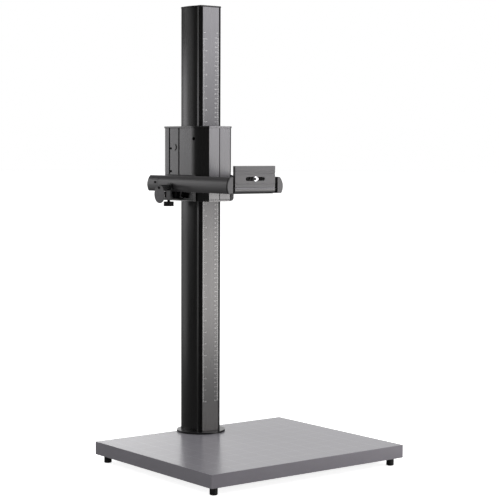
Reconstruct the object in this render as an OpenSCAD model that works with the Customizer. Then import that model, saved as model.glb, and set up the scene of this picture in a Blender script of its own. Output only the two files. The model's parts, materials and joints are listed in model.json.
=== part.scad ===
// Copy stand: a laminate baseboard carries a tall extruded column.
// A boxed carriage rides on the column and carries two horizontal arms.
// A tilting camera plate hangs between the arms' front ends.
// Units are millimetres, Z is up, the column stands at the back (+Y).
// The origin is in the middle of the baseboard's upper face.

/* [Baseboard] */
// width of the board, along the side the column stands on
board_w = 500; // [400:1:700]
// depth of the board from front to back
board_d = 417; // [330:1:600]
// thickness of the board
board_t = 27; // [18:0.5:40]
// thickness of the edging strip glued round the board
edging_t = 1.5; // [0.5:0.1:3]
// diameter of a rubber foot
foot_d = 16; // [10:0.5:30]
// height of a rubber foot
foot_h = 17; // [6:0.5:24]
// distance of a foot's axis from the board's side edges
foot_inset = 19; // [12:1:60]

/* [Column] */
// sideways position of the column's middle plane
column_x = 5.5; // [-60:0.5:60]
// position of the column's flat front face
column_front_y = 145.5; // [60:0.5:200]
// depth of the column from front to back
column_d = 71.5; // [40:0.5:100]
// width of the flat front face, between its slanted edges
front_bar_w = 42.5; // [28:0.5:60]
// width over both slanted edges
front_bar_out = 55; // [32:0.5:66]
// depth of the slant
bar_slant = 2; // [0.5:0.1:4]
// depth of the front bar before the body widens
front_bar_d = 11.5; // [4:0.5:20]
// greatest width of the bulging body
body_w = 64; // [45:1:100]
// radius of the bulging side faces
body_r = 100; // [60:1:300]
// how far behind the front face the body is widest
body_mid = 43.5; // [20:0.5:60]
// wall thickness of the column
column_wall = 4; // [2:0.5:8]
// height of the column's top above the board
column_top = 926; // [500:1:1500]
// diameter of the round foot flange
flange_d = 106; // [70:1:160]
// thickness of the round foot flange
flange_t = 4; // [2:0.5:10]
// depth of the seat that is let into the board for the flange
seat_t = 0.5; // [0.2:0.1:2]
// thickness of the column's top plate
cap_t = 3; // [1.5:0.5:8]
// how far the top plate stands over the column's sides
cap_over = 0.8; // [0:0.1:3]

/* [Carriage] */
// height of the carriage's lower face above the board
carriage_z = 508; // [60:1:740]
// height of the carriage housing
carriage_h = 162; // [100:1:240]
// position of the housing's front face
housing_front_y = 113; // [60:0.5:140]
// position of the housing's back face
housing_back_y = 252; // [230:0.5:320]
// width of the housing's flat front
housing_front_w = 56; // [40:1:90]
// width of the housing between its side faces
housing_w = 94; // [84:1:140]
// wall thickness of the housing
housing_wall = 4; // [2:0.5:8]
// width of the dark joint lines beside the side covers
joint_gap = 3.8; // [0.4:0.1:5]
// width of the seam in the housing's front
seam_gap = 1.2; // [0.4:0.1:4]
// radius between the left side face and its slanted front corner
corner_r = 50; // [10:1:56]
// radius between the right side face and its slanted front corner
right_corner_r = 38; // [10:1:56]
// front edge of the side cover strip
cover_front_y = 200.5; // [180:0.5:220]
// back edge of the side cover strip
cover_back_y = 232.5; // [225:0.5:250]
// thickness of the top and bottom cover plates
lid_t = 4; // [1:0.5:6]
// how far the top cover plate stands over the housing
lid_over = 1.2; // [0:0.1:3]
// thickness of the guide frames that hold the glide pads
frame_t = 12; // [6:1:20]

/* [Drive] */
// radius of the friction wheel that runs behind the column
wheel_r = 14; // [8:0.5:20]
// gap between the wheel and the friction strip
wheel_gap = 0.3; // [0.3:0.05:1]
// diameter of the crank shaft
shaft_d = 8; // [5:0.5:12]
// height of the crank shaft above the board
shaft_z = 622; // [560:1:660]
// distance from the shaft to the crank grip
crank_r = 46; // [25:1:70]
// diameter of the crank grip
grip_d = 20; // [12:1:30]
// length of the crank grip
grip_l = 34; // [20:1:60]

/* [Arms] */
// thickness of an arm from its flat inner face to its round outer face
arm_t = 15; // [12:0.5:30]
// height of an arm
arm_h = 34.5; // [24:0.5:50]
// height of an arm's lower face above the board
arm_z = 528.5; // [520:0.5:560]
// radius of an arm's round outer face
arm_r = 27; // [18:0.5:60]
// height of the widest line of an arm above its lower face
arm_bulge = 14.5; // [8:0.5:20]
// distance between the arms' flat inner faces
arm_gap = 117; // [100:1:150]
// position of the arms' front ends
arm_front_y = -13.5; // [-40:0.5:10]
// position of the arms' back ends
arm_back_y = 283.5; // [255:0.5:340]
// length of the front end caps
front_cap_l = 4; // [3:0.5:20]
// length of the back end caps
back_cap_l = 40; // [8:1:60]
// wall thickness of the arms
arm_wall = 2.5; // [1.5:0.5:5]
// running gap between an arm and its guide rail
slide_gap = 0.3; // [0.1:0.05:1]
// front end of the guide rails
rail_front_y = 135; // [125:0.5:160]
// back end of the guide rails
rail_back_y = 236.5; // [200:0.5:252]
// height of the guide rails
rail_h = 57; // [40:1:70]

/* [Camera plate] */
// width of the camera plate
plate_w = 106; // [60:1:108]
// height of the camera plate
plate_h = 58; // [40:1:90]
// thickness of the camera plate
plate_t = 7.5; // [4:0.5:12]
// height of the plate's lower edge above the board
plate_z = 528; // [515:1:545]
// radius of the hinge barrel along the plate's lower edge
barrel_r = 9.5; // [7:0.5:14]
// diameter of the hinge bar
hinge_d = 8; // [5:0.5:12]
// running gap round the hinge bar
hinge_gap = 0.08; // [0.02:0.01:0.1]
// length of the slot for the camera screw
slot_l = 50; // [20:1:90]
// height of the slot for the camera screw
slot_h = 8; // [7:0.1:12]
// height of the slot's middle above the board
slot_z = 559; // [552:1:575]
// sideways position of the camera screw from the middle plane
screw_x = -0.5; // [-18:0.5:18]
// diameter of the camera screw's thread
screw_d = 6.35; // [6.35:0.01:9.53]
// how far the camera screw stands out of its bush
screw_out = 5.5; // [4:0.1:8]

/* [Arm clamp] */
// position of the clamp spindle
spindle_y = 190.5; // [170:0.5:230]
// height of the clamp spindle above the board
spindle_z = 537.5; // [530:0.5:560]
// diameter of the round clamp disc
disc_d = 38; // [30:1:60]
// distance between the spindle and the middle of the clamp disc
disc_offset = 14.5; // [4:0.5:18]
// thickness of the clamp disc
disc_t = 2; // [2:0.5:10]
// length of the ribbed grip between the clamp bracket and the disc
spindle_l = 23; // [12:1:40]
// position of the stop screw under the left arm
stop_y = 210; // [200:0.5:235]
// diameter of the stop screw's knob
stop_knob_d = 22; // [12:1:30]
// diameter of the stop screw's ribbed sleeve
stop_sleeve_d = 18; // [8:0.5:19]

/* [Hidden] */
$fn = 96;
// the board's upper face, its lower face and the floor
z0 = 0;
under = z0 - board_t;
floor_z = under - foot_h;
// small overlap used only for cutting tools
cut = 1;
// column body
body_mid_y = column_front_y + body_mid;
column_back_y = column_front_y + column_d;
column_mid_y = column_front_y + column_d / 2;
body_cx = body_r - body_w / 2;
column_foot = z0 + flange_t;
column_len = column_top - flange_t;
// friction strip let into the column's back
strip_w = 14;
strip_t = 1.5;
// the front bar's lip and the groove behind it
lip_t = 0.8;
groove_w = 3;
groove_d = 3;
// the top plate's two sunk screws
cap_screw_x = 17;
// the foot flange's middle, and the play round it in its seat
flange_y = column_mid_y - 0.75;
seat_gap = 0.3;
// flange bolts stand on a circle in the hollow corners of the column
bolt_d = 8;
bolt_dx = 8.5;
bolt_dy = 17;
// carriage
ch = (housing_w - housing_front_w) / 2;
shell_z = z0 + carriage_z + lid_t;
shell_h = carriage_h - 2 * lid_t;
// the housing's left and right side faces
left_x = column_x - housing_w / 2;
right_x = column_x + housing_w / 2;
passage_gap = 1.5;
pad_gap = 0.4;
// drive
shaft_y = column_back_y + wheel_gap + wheel_r;
bush_d = 14;
// the right side cover reaches further back, round the shaft's bush
right_cover_back_y = shaft_y + bush_d / 2 + 3.2;
// arms
inner_x = arm_gap / 2;
// play between a guide rail's side and the arm on it
rail_gap = 3.6;
rail_t = inner_x - housing_w / 2 - rail_gap;
neck_h = 7;
head_h = 13;
neck_l = rail_gap + 2.6;
head_l = 4;
tongue_z = arm_z + 18;
// thickness of the solid wall round the T slot, and how far the hinge bar reaches into it
slot_wall = 9;
hinge_reach = 8.6;
arm_len = arm_back_y - arm_front_y - front_cap_l - back_cap_l;
arm_y = arm_front_y + front_cap_l;
// width and depth of the dark joint between an arm and its front cap
cap_groove = 1.6;
// camera plate
plate_front_y = arm_front_y + 1;
hinge_y = plate_front_y + barrel_r;
hinge_z = plate_z + barrel_r - 0.5;
washer_t = (arm_gap - plate_w) / 2;
// heights of the grooves above the plate's lower edge
rib_z = [47.5, 41.5, 20.6];
// clamp
// play between the arm's round side and the clamp bracket beside it
bracket_gap = 1.7;
bracket_x = inner_x + arm_t + bracket_gap;
bracket_t = 5;
bracket_z = 510;
plate_foot_t = 4;
foot_depth = 4;
// windows through the lower part of a guide rail
window_h = 13;
window_z = 515 + window_h / 2;
window_y = [[149.5, 179], [193.5, 223]];

// a box given by its two corners
module span(a, b) {
    translate(a) cube([b[0] - a[0], b[1] - a[1], b[2] - a[2]]);
}

// a round bar along X from x0 to x1
module bar_x(x0, x1, y, z, d) {
    translate([x0, y, z]) rotate([0, 90, 0]) cylinder(d = d, h = x1 - x0);
}

// a round bar along Y from y0 to y1
module bar_y(x, y0, y1, z, d) {
    translate([x, y0, z]) rotate([-90, 0, 0]) cylinder(d = d, h = y1 - y0);
}

// everything of the right side is the left side mirrored in the column's middle plane
module right_side() {
    translate([2 * column_x, 0, 0]) mirror([1, 0, 0]) children();
}

// the feet stand near the four corners
module at_feet() {
    for (sx = [-1, 1]) {
        for (sy = [-1, 1]) {
            translate([sx * (board_w / 2 - foot_inset), sy * (board_d / 2 - foot_inset), 0]) children();
        }
    }
}

module at_bolts() {
    for (sx = [-1, 1]) {
        for (sy = [-1, 1]) {
            translate([column_x + sx * bolt_dx, column_mid_y + sy * bolt_dy, 0]) children();
        }
    }
}

screw_hole_d = 4;
foot_bore_l = 14;

// the flange sits in a shallow round seat that runs out over the board's back edge
module flange_seat() {
    translate([column_x, flange_y, z0 - seat_t]) cylinder(d = flange_d + 2 * seat_gap, h = seat_t + cut);
}

module baseboard() {
    color([0.62, 0.62, 0.66]) difference() {
        span([-board_w / 2 + edging_t, -board_d / 2 + edging_t, under],
            [board_w / 2 - edging_t, board_d / 2 - edging_t, z0]);
        at_feet() translate([0, 0, under - cut]) cylinder(d = screw_hole_d, h = foot_bore_l + cut);
        at_bolts() translate([0, 0, under - cut]) cylinder(d = bolt_d, h = board_t + 2 * cut);
        at_bolts() translate([0, 0, under - cut]) cylinder(d = bolt_d * 2, h = 8 + cut);
        flange_seat();
    }
}

module edging() {
    color([0.36, 0.35, 0.38]) difference() {
        span([-board_w / 2, -board_d / 2, under], [board_w / 2, board_d / 2, z0]);
        span([-board_w / 2 + edging_t, -board_d / 2 + edging_t, under - cut],
            [board_w / 2 - edging_t, board_d / 2 - edging_t, z0 + cut]);
        flange_seat();
    }
}

// a foot is a short rubber barrel with a rounded lower rim and a bore for its screw
module foot() {
    rim = 2;
    color([0.05, 0.05, 0.055]) difference() {
        rotate_extrude() difference() {
            square([foot_d / 2, foot_h]);
            translate([foot_d / 2 - rim, 0]) difference() {
                translate([0, -cut]) square([rim + cut, rim + cut]);
                translate([0, rim]) circle(r = rim);
            }
        }
        translate([0, 0, -cut]) cylinder(d = 8.4, h = 5 + cut);
        translate([0, 0, -cut]) cylinder(d = screw_hole_d, h = foot_h + 2 * cut);
    }
}

module foot_at(sx, sy) {
    translate([sx * (board_w / 2 - foot_inset), sy * (board_d / 2 - foot_inset), floor_z]) foot();
}

module foot_front_left() {
    foot_at(-1, -1);
}

module foot_front_right() {
    foot_at(1, -1);
}

module foot_back_left() {
    foot_at(-1, 1);
}

module foot_back_right() {
    foot_at(1, 1);
}

module foot_screws() {
    color([0.7, 0.7, 0.72]) at_feet() translate([0, 0, floor_z]) difference() {
        union() {
            translate([0, 0, 2.4]) cylinder(d = 8, h = 2.6);
            translate([0, 0, 5]) cylinder(d = screw_hole_d, h = foot_h - 5 + foot_bore_l - 1);
        }
        translate([0, 0, 2]) cylinder(d = 3, h = 1.8);
    }
}

module foot_flange() {
    color([0.06, 0.06, 0.065]) difference() {
        translate([column_x, flange_y, z0 - seat_t]) cylinder(d = flange_d, h = flange_t + seat_t);
        at_bolts() translate([0, 0, z0 - seat_t - cut])
            cylinder(d = bolt_d, h = flange_t + seat_t + 2 * cut);
    }
}

boss_l = 30;

// long bolts come up through the board and the flange into bosses inside the column
module flange_bolts() {
    color([0.5, 0.5, 0.52]) at_bolts() difference() {
        union() {
            translate([0, 0, under + 1]) cylinder(d = bolt_d * 1.7, h = 7);
            translate([0, 0, under + 8]) cylinder(d = bolt_d, h = board_t - 8 + flange_t + boss_l - 4);
        }
        translate([0, 0, under]) cylinder(d = 6, h = 5);
    }
}

// plan of the column's body before it is hollowed, grown or shrunk by g
module body_solid(g, zlow, h) {
    intersection() {
        translate([column_x - body_cx, body_mid_y, zlow]) cylinder(r = body_r + g, h = h, $fn = 240);
        translate([column_x + body_cx, body_mid_y, zlow]) cylinder(r = body_r + g, h = h, $fn = 240);
        span([column_x - body_w, column_front_y + front_bar_d - g, zlow],
            [column_x + body_w, column_back_y + g, zlow + h]);
    }
}

// the bar along the column's front: a flat face with slanted edges, grown by g
module front_bar(g, zlow, h) {
    a = front_bar_w / 2 + g / 2;
    b = front_bar_out / 2 + g;
    translate([column_x, column_front_y, zlow]) linear_extrude(height = h)
        polygon([[-a, -g], [a, -g], [b, bar_slant - g / 2],
        [b, front_bar_d + 1], [-b, front_bar_d + 1], [-b, bar_slant - g / 2]]);
}

module column() {
    color([0.07, 0.07, 0.075]) difference() {
        union() {
            body_solid(0, column_foot, column_len);
            front_bar(0, column_foot, column_len);
        }
        // the hollow, kept clear of the front bar and of the bolt bosses
        difference() {
            body_solid(-column_wall, column_foot - cut, column_len + 2 * cut);
            at_bolts() translate([0, 0, column_foot - 2 * cut]) cylinder(d = bolt_d + 7, h = boss_l);
            span([column_x - 1.5, column_front_y, column_foot - 2 * cut],
                [column_x + 1.5, column_back_y, z0 + column_top + 2 * cut]);
        }
        at_bolts() translate([0, 0, column_foot - cut]) cylinder(d = bolt_d, h = boss_l - 3);
        // an undercut groove behind each slanted edge
        for (sx = [-1, 1]) {
            translate([column_x + sx * front_bar_out / 2,
                column_front_y + bar_slant + lip_t + groove_w / 2, z0 + column_top / 2])
                cube([2 * groove_d, groove_w, column_top + 2 * cut], center = true);
        }
        // seat of the friction strip
        span([column_x - strip_w / 2, column_back_y - strip_t, column_foot - cut],
            [column_x + strip_w / 2, column_back_y + cut, z0 + column_top + cut]);
        // threaded holes for the top plate's screws
        for (sx = [-1, 1]) {
            translate([column_x + sx * cap_screw_x, column_front_y + 6.5, z0 + column_top - 12])
                cylinder(d = 3, h = 12 + cut);
        }
    }
}

module friction_strip() {
    color([0.55, 0.55, 0.57]) span([column_x - strip_w / 2, column_back_y - strip_t, column_foot],
        [column_x + strip_w / 2, column_back_y, z0 + column_top]);
}

module column_cap() {
    color([0.03, 0.03, 0.032]) difference() {
        union() {
            body_solid(cap_over, z0 + column_top, cap_t);
            front_bar(cap_over, z0 + column_top, cap_t);
        }
        for (sx = [-1, 1]) {
            translate([column_x + sx * cap_screw_x, column_front_y + 6.5, z0 + column_top]) {
                translate([0, 0, -cut]) cylinder(d = 3, h = cap_t + 2 * cut);
                translate([0, 0, cap_t - 1.6]) cylinder(d = 6, h = 1.6 + cut);
            }
        }
    }
}

module cap_screws() {
    color([0.3, 0.3, 0.31]) for (sx = [-1, 1]) {
        translate([column_x + sx * cap_screw_x, column_front_y + 6.5, z0 + column_top]) difference() {
            union() {
                translate([0, 0, -10]) cylinder(d = 3, h = 10 + cap_t - 0.2);
                translate([0, 0, cap_t - 1.6]) cylinder(d = 6, h = 1.4);
            }
            translate([0, 0, cap_t - 1]) cylinder(d = 2.4, h = 2);
        }
    }
}

// plan of the housing with sharp corners: flat front, slanted front corners, straight sides, shrunk by g
module housing_plan(g) {
    s = g * tan(22.5);
    w = housing_w / 2 - g;
    f = housing_front_w / 2 - s;
    translate([column_x, 0]) polygon([[-f, housing_front_y + g], [f, housing_front_y + g],
        [w, housing_front_y + ch + s],
        [w, housing_back_y - g], [-w, housing_back_y - g], [-w, housing_front_y + ch + s]]);
}

// what is left over outside the round between a side face and the slanted corner
module corner_rest(g, h, outer_r) {
    w = housing_w / 2 - g;
    r = outer_r - g;
    cx = left_x + outer_r;
    cy = housing_front_y + ch + outer_r * tan(22.5);
    difference() {
        linear_extrude(height = h) polygon([[column_x - w, cy],
            [column_x - w - 9, housing_front_y + ch - 4],
            [cx - r * cos(45), cy - r * sin(45)]]);
        translate([cx, cy, -cut]) cylinder(r = r, h = h + 2 * cut, $fn = 180);
    }
}

// the housing as one solid from zlow upwards, shrunk by g
module housing_solid(g, zlow, h) {
    difference() {
        translate([0, 0, zlow]) linear_extrude(height = h) housing_plan(g);
        translate([0, 0, zlow - cut]) corner_rest(g, h + 2 * cut, corner_r);
        translate([0, 0, zlow - cut]) right_side() corner_rest(g, h + 2 * cut, right_corner_r);
    }
}

// plan of the space that the column needs, grown by g
module passage(g, zlow, h) {
    union() {
        body_solid(g, zlow, h);
        front_bar(g, zlow, h);
    }
}

// half of the housing's front and side, from the front seam to the side cover,
// the left half where side is 1 and the right half where it is -1
module half_shell(side) {
    z1 = shell_z + shell_h + cut;
    seam_x = column_x - side * seam_gap / 2;
    far_x = column_x + side * housing_w;
    difference() {
        housing_solid(0, shell_z, shell_h);
        housing_solid(housing_wall, shell_z - cut, shell_h + 2 * cut);
        span([min(seam_x, far_x), housing_front_y - cut, shell_z - cut],
            [max(seam_x, far_x), housing_back_y, z1]);
        span([column_x - housing_w, cover_front_y - joint_gap, shell_z - cut],
            [column_x + housing_w, housing_back_y + cut, z1]);
    }
}

brake_y = housing_front_y + ch + 12;
brake_z = 642.5;
brake_d = 8;

module shell_left() {
    color([0.13, 0.13, 0.135]) difference() {
        half_shell(1);
        bar_x(left_x - cut, left_x + housing_wall + 5, brake_y, z0 + brake_z, brake_d);
    }
}

module shell_right() {
    color([0.13, 0.13, 0.135]) half_shell(-1);
}

cover_screw_z = [shaft_z - 50, shaft_z];
right_screw_z = [shaft_z - 49, shaft_z + 28];
cap_y = 215;
cap_z = shaft_z + 2.5;
cap_d = 14;
screw_y = cap_y + 14;

module cover_strip(y1) {
    span([left_x, cover_front_y, shell_z], [left_x + housing_wall, y1, shell_z + shell_h]);
}

module side_cover_left() {
    color([0.14, 0.14, 0.145]) difference() {
        cover_strip(cover_back_y);
        bar_x(left_x - cut, left_x + housing_wall + cut, cap_y, z0 + cap_z, cap_d - 3);
        for (z = cover_screw_z) {
            bar_x(left_x - cut, left_x + housing_wall + cut, screw_y, z0 + z, 3);
        }
    }
}

module side_cover_right() {
    color([0.14, 0.14, 0.145]) difference() {
        right_side() cover_strip(right_cover_back_y);
        bar_x(right_x - housing_wall - cut, right_x + cut, shaft_y, z0 + shaft_z, bush_d);
        for (z = right_screw_z) {
            bar_x(right_x - housing_wall - cut, right_x + cut, cap_y - 6, z0 + z, 3);
        }
    }
}

// the back is a shallow channel that closes the housing
module back_cover() {
    color([0.12, 0.12, 0.125]) difference() {
        housing_solid(0, shell_z, shell_h);
        housing_solid(housing_wall, shell_z - cut, shell_h + 2 * cut);
        span([column_x - housing_w, housing_front_y - cut, shell_z - cut],
            [column_x + housing_w, cover_back_y + joint_gap, shell_z + shell_h + cut]);
        span([column_x, housing_front_y - cut, shell_z - cut],
            [column_x + housing_w, right_cover_back_y + joint_gap, shell_z + shell_h + cut]);
    }
}

// guide frames carry the glide pads round the column
module guide_frame(zlow) {
    difference() {
        housing_solid(housing_wall, zlow, frame_t);
        passage(4, zlow - cut, frame_t + 2 * cut);
    }
}

module frame_top() {
    color([0.4, 0.4, 0.42]) guide_frame(shell_z + shell_h - frame_t);
}

module frame_bottom() {
    color([0.4, 0.4, 0.42]) guide_frame(shell_z);
}

module lid(zlow, over) {
    difference() {
        housing_solid(-over, zlow, lid_t);
        passage(passage_gap, zlow - cut, lid_t + 2 * cut);
    }
}

module lid_top() {
    color([0.1, 0.1, 0.105]) lid(shell_z + shell_h, lid_over);
}

module lid_bottom() {
    color([0.1, 0.1, 0.105]) lid(z0 + carriage_z, 0);
}

// flat pads in front of the column and beside its friction strip
module pad_set(zlow) {
    span([column_x - 18, column_front_y - 4, zlow],
        [column_x + 18, column_front_y - pad_gap, zlow + frame_t]);
    for (sx = [-1, 1]) {
        translate([column_x + sx * 18, 0, 0])
            span([-7, column_back_y + pad_gap, zlow], [7, column_back_y + 4, zlow + frame_t]);
    }
}

module pads_top() {
    color([0.9, 0.9, 0.86]) pad_set(shell_z + shell_h - frame_t);
}

module pads_bottom() {
    color([0.9, 0.9, 0.86]) pad_set(shell_z);
}

module cover_screws() {
    color([0.1, 0.1, 0.1]) union() {
        for (z = cover_screw_z) {
            bar_x(left_x - 0.8, left_x, screw_y, z0 + z, 5);
            bar_x(left_x, left_x + housing_wall + 3, screw_y, z0 + z, 3);
        }
        for (z = right_screw_z) {
            bar_x(right_x, right_x + 0.8, cap_y - 6, z0 + z, 5);
            bar_x(right_x - housing_wall - 3, right_x, cap_y - 6, z0 + z, 3);
        }
    }
}

module axle_cap() {
    color([0.09, 0.09, 0.095]) union() {
        bar_x(left_x - 1.5, left_x, cap_y, z0 + cap_z, cap_d);
        bar_x(left_x, left_x + housing_wall + 2, cap_y, z0 + cap_z, cap_d - 3);
    }
}

// a sunk screw that sets how stiffly the carriage runs
module brake_screw() {
    color([0.03, 0.03, 0.03]) difference() {
        bar_x(left_x + 3.8, left_x + housing_wall + 5, brake_y, z0 + brake_z, brake_d);
        bar_x(left_x, left_x + 6.5, brake_y, z0 + brake_z, 3.5);
    }
}

bush_out = 5;

module shaft_bushes() {
    color([0.72, 0.58, 0.3]) difference() {
        bar_x(right_x - housing_wall - 6, right_x + bush_out, shaft_y, z0 + shaft_z, bush_d);
        bar_x(right_x - 20, right_x + 20, shaft_y, z0 + shaft_z, shaft_d + 2 * hinge_gap);
    }
}

// a guide rail is a plate on the housing's side with a T tongue for the arm
module guide_rail() {
    x1 = left_x;
    x0 = x1 - rail_t;
    r = 7;
    union() {
        difference() {
            span([x0, rail_front_y, z0 + carriage_z], [x1, rail_back_y, z0 + carriage_z + rail_h]);
            // the outer long edges are rounded
            for (s = [0, 1]) {
                translate([x0, rail_front_y - cut, z0 + carriage_z + s * rail_h]) rotate([-90, 0, 0])
                    difference() {
                    translate([-cut, s == 0 ? -r : -cut, 0])
                        cube([r + cut, r + cut, rail_back_y - rail_front_y + 2 * cut]);
                    translate([r, s == 0 ? -r : r, -cut])
                        cylinder(r = r, h = rail_back_y - rail_front_y + 4 * cut);
                }
            }
            // two long windows with round ends
            for (w = window_y) {
                for (e = [w[0] + window_h / 2, w[1] - window_h / 2]) {
                    bar_x(x0 - cut, x1 + cut, e, z0 + window_z, window_h);
                }
                span([x0 - cut, w[0] + window_h / 2, z0 + window_z - window_h / 2],
                    [x1 + cut, w[1] - window_h / 2, z0 + window_z + window_h / 2]);
            }
        }
        span([x0 - neck_l, rail_front_y, z0 + tongue_z - neck_h / 2],
            [x0, rail_back_y, z0 + tongue_z + neck_h / 2]);
        span([x0 - neck_l - head_l, rail_front_y, z0 + tongue_z - head_h / 2],
            [x0 - neck_l, rail_back_y, z0 + tongue_z + head_h / 2]);
    }
}

// the bracket's foot, which is let into the left rail
module bracket_foot() {
    span([column_x - bracket_x - bracket_t, spindle_y - 12, z0 + bracket_z],
        [left_x - rail_t + foot_depth, spindle_y + 36, z0 + bracket_z + plate_foot_t]);
}

module rail_left() {
    color([0.12, 0.12, 0.125]) difference() {
        guide_rail();
        bracket_foot();
    }
}

module rail_right() {
    color([0.12, 0.12, 0.125]) right_side() guide_rail();
}

// a block under the left arm keeps the arm from sagging
module rail_stop() {
    x0 = left_x - rail_t;
    color([0.05, 0.05, 0.05]) span([x0 - 6, spindle_y - 1, z0 + bracket_z + plate_foot_t],
        [x0, spindle_y + 10, z0 + arm_z - 0.8]);
}

// the clamp bracket reaches under the left arm and up its outer face
module clamp_bracket() {
    xo = column_x - bracket_x;
    color([0.11, 0.11, 0.115]) difference() {
        union() {
            bracket_foot();
            span([xo - bracket_t, spindle_y - 8, z0 + bracket_z + plate_foot_t],
                [xo, spindle_y + 8, z0 + spindle_z]);
            bar_x(xo - bracket_t, xo, spindle_y, z0 + spindle_z, 20);
        }
        bar_x(xo - bracket_t - cut, xo + cut, spindle_y, z0 + spindle_z, 8 + 2 * hinge_gap);
        translate([stop_x, stop_y, z0 + bracket_z - cut])
            cylinder(d = 6 + 2 * hinge_gap, h = plate_foot_t + 2 * cut);
    }
}

// the crank shaft ends in the right-hand wall of the housing
module crank_shaft() {
    color([0.75, 0.75, 0.77]) bar_x(column_x - 12, right_x + bush_out + 11, shaft_y, z0 + shaft_z, shaft_d);
}

module friction_wheel() {
    color([0.2, 0.2, 0.2]) difference() {
        bar_x(column_x - 6, column_x + 6, shaft_y, z0 + shaft_z, 2 * wheel_r);
        bar_x(column_x - 8, column_x + 8, shaft_y, z0 + shaft_z, shaft_d);
    }
}

crank_x = right_x + bush_out + 1;
crank_w = 8;
// the crank rests pointing up and back, at 50 degrees from the vertical
crank_a = 50;
pin_y = shaft_y + crank_r * sin(crank_a);
pin_z = shaft_z + crank_r * cos(crank_a);

module crank_arm() {
    color([0.1, 0.1, 0.105]) difference() {
        union() {
            bar_x(crank_x, crank_x + 10, shaft_y, z0 + shaft_z, 18);
            bar_x(crank_x, crank_x + crank_w, pin_y, z0 + pin_z, 14);
            translate([crank_x, shaft_y, z0 + shaft_z]) rotate([-crank_a, 0, 0]) translate([0, -5, 0])
                cube([crank_w, 10, crank_r]);
        }
        bar_x(crank_x - cut, crank_x + 12, shaft_y, z0 + shaft_z, shaft_d);
        bar_x(crank_x - cut, crank_x + crank_w + cut, pin_y, z0 + pin_z, 6);
    }
}

module crank_pin() {
    color([0.72, 0.72, 0.74]) union() {
        bar_x(crank_x + 1, crank_x + crank_w + grip_l + 2, pin_y, z0 + pin_z, 6);
        bar_x(crank_x + crank_w + grip_l + 0.6, crank_x + crank_w + grip_l + 2.6, pin_y, z0 + pin_z, 10);
    }
}

// the grip is a waisted barrel that spins on its pin
module crank_grip() {
    color([0.05, 0.05, 0.055]) translate([crank_x + crank_w + 0.4, pin_y, z0 + pin_z])
        rotate([0, 90, 0]) difference() {
        rotate_extrude() difference() {
            square([grip_d / 2, grip_l]);
            translate([grip_d / 2 + 58, grip_l / 2]) circle(r = 60, $fn = 360);
        }
        translate([0, 0, -cut]) cylinder(d = 6 + 2 * hinge_gap, h = grip_l + 2 * cut);
    }
}

// an arm's D-shaped bar from y0 to y1, shrunk by g
module d_bar(y0, y1, g) {
    xi = column_x - inner_x;
    intersection() {
        span([xi - arm_t + g, y0, z0 + arm_z + g], [xi - g, y1, z0 + arm_z + arm_h - g]);
        translate([xi - arm_t + arm_r, y0 - cut, z0 + arm_z + arm_bulge]) rotate([-90, 0, 0])
            cylinder(r = arm_r - g, h = y1 - y0 + 2 * cut, $fn = 180);
    }
}

// the T slot that rides on the guide rail's tongue
module t_slot(y0, y1) {
    xi = column_x - inner_x;
    xr = left_x - rail_t;
    span([xi - 5, y0, z0 + tongue_z - neck_h / 2 - slide_gap],
        [xi + cut, y1, z0 + tongue_z + neck_h / 2 + slide_gap]);
    span([xr - neck_l - head_l - slide_gap, y0, z0 + tongue_z - head_h / 2 - slide_gap],
        [xr - neck_l + slide_gap, y1, z0 + tongue_z + head_h / 2 + slide_gap]);
}

// the arm is a hollow bar with a slot wall round the T slot
module arm() {
    y0 = arm_y;
    y1 = arm_y + arm_len;
    xi = column_x - inner_x;
    difference() {
        d_bar(y0, y1, 0);
        difference() {
            d_bar(y0 - cut, y1 + cut, arm_wall);
            span([xi - slot_wall, y0 - 2 * cut, z0 + arm_z], [xi, y1 + 2 * cut, z0 + arm_z + arm_h]);
        }
        t_slot(y0 - cut, y1 + cut);
        bar_x(xi - hinge_reach, xi + cut, hinge_y, z0 + hinge_z, hinge_d);
    }
}

module arm_left() {
    color([0.08, 0.08, 0.085]) arm();
}

module arm_right() {
    color([0.08, 0.08, 0.085]) right_side() arm();
}

// a thin cap closes an arm's front end, with a dark joint round it
module front_cap() {
    union() {
        d_bar(arm_front_y, arm_y - cap_groove, 0);
        d_bar(arm_y - cap_groove - cut, arm_y, cap_groove);
    }
}

module front_cap_left() {
    color([0.3, 0.3, 0.31]) front_cap();
}

module front_cap_right() {
    color([0.3, 0.3, 0.31]) right_side() front_cap();
}

back_screw_y = arm_back_y - 31;
back_screw_z = 548;
back_screw_d = 5;

module back_cap() {
    xi = column_x - inner_x;
    difference() {
        d_bar(arm_back_y - back_cap_l, arm_back_y, 0);
        t_slot(arm_back_y - back_cap_l - cut, arm_back_y - 6);
        bar_x(xi - arm_t - cut, xi - arm_t + 6, back_screw_y, z0 + back_screw_z, back_screw_d);
    }
}

module back_cap_left() {
    color([0.09, 0.09, 0.095]) back_cap();
}

module back_cap_right() {
    color([0.09, 0.09, 0.095]) right_side() back_cap();
}

module back_screw() {
    xi = column_x - inner_x;
    bar_x(xi - arm_t - 0.8, xi - arm_t + 5, back_screw_y, z0 + back_screw_z, back_screw_d);
    bar_x(xi - arm_t - 1.2, xi - arm_t + 0.2, back_screw_y, z0 + back_screw_z, back_screw_d);
}

module arm_screws() {
    color([0.04, 0.04, 0.04]) union() {
        back_screw();
        right_side() back_screw();
    }
}

module hinge_bar() {
    color([0.7, 0.7, 0.72]) bar_x(column_x - inner_x - hinge_reach, column_x + inner_x + hinge_reach,
        hinge_y, z0 + hinge_z, hinge_d);
}

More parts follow.
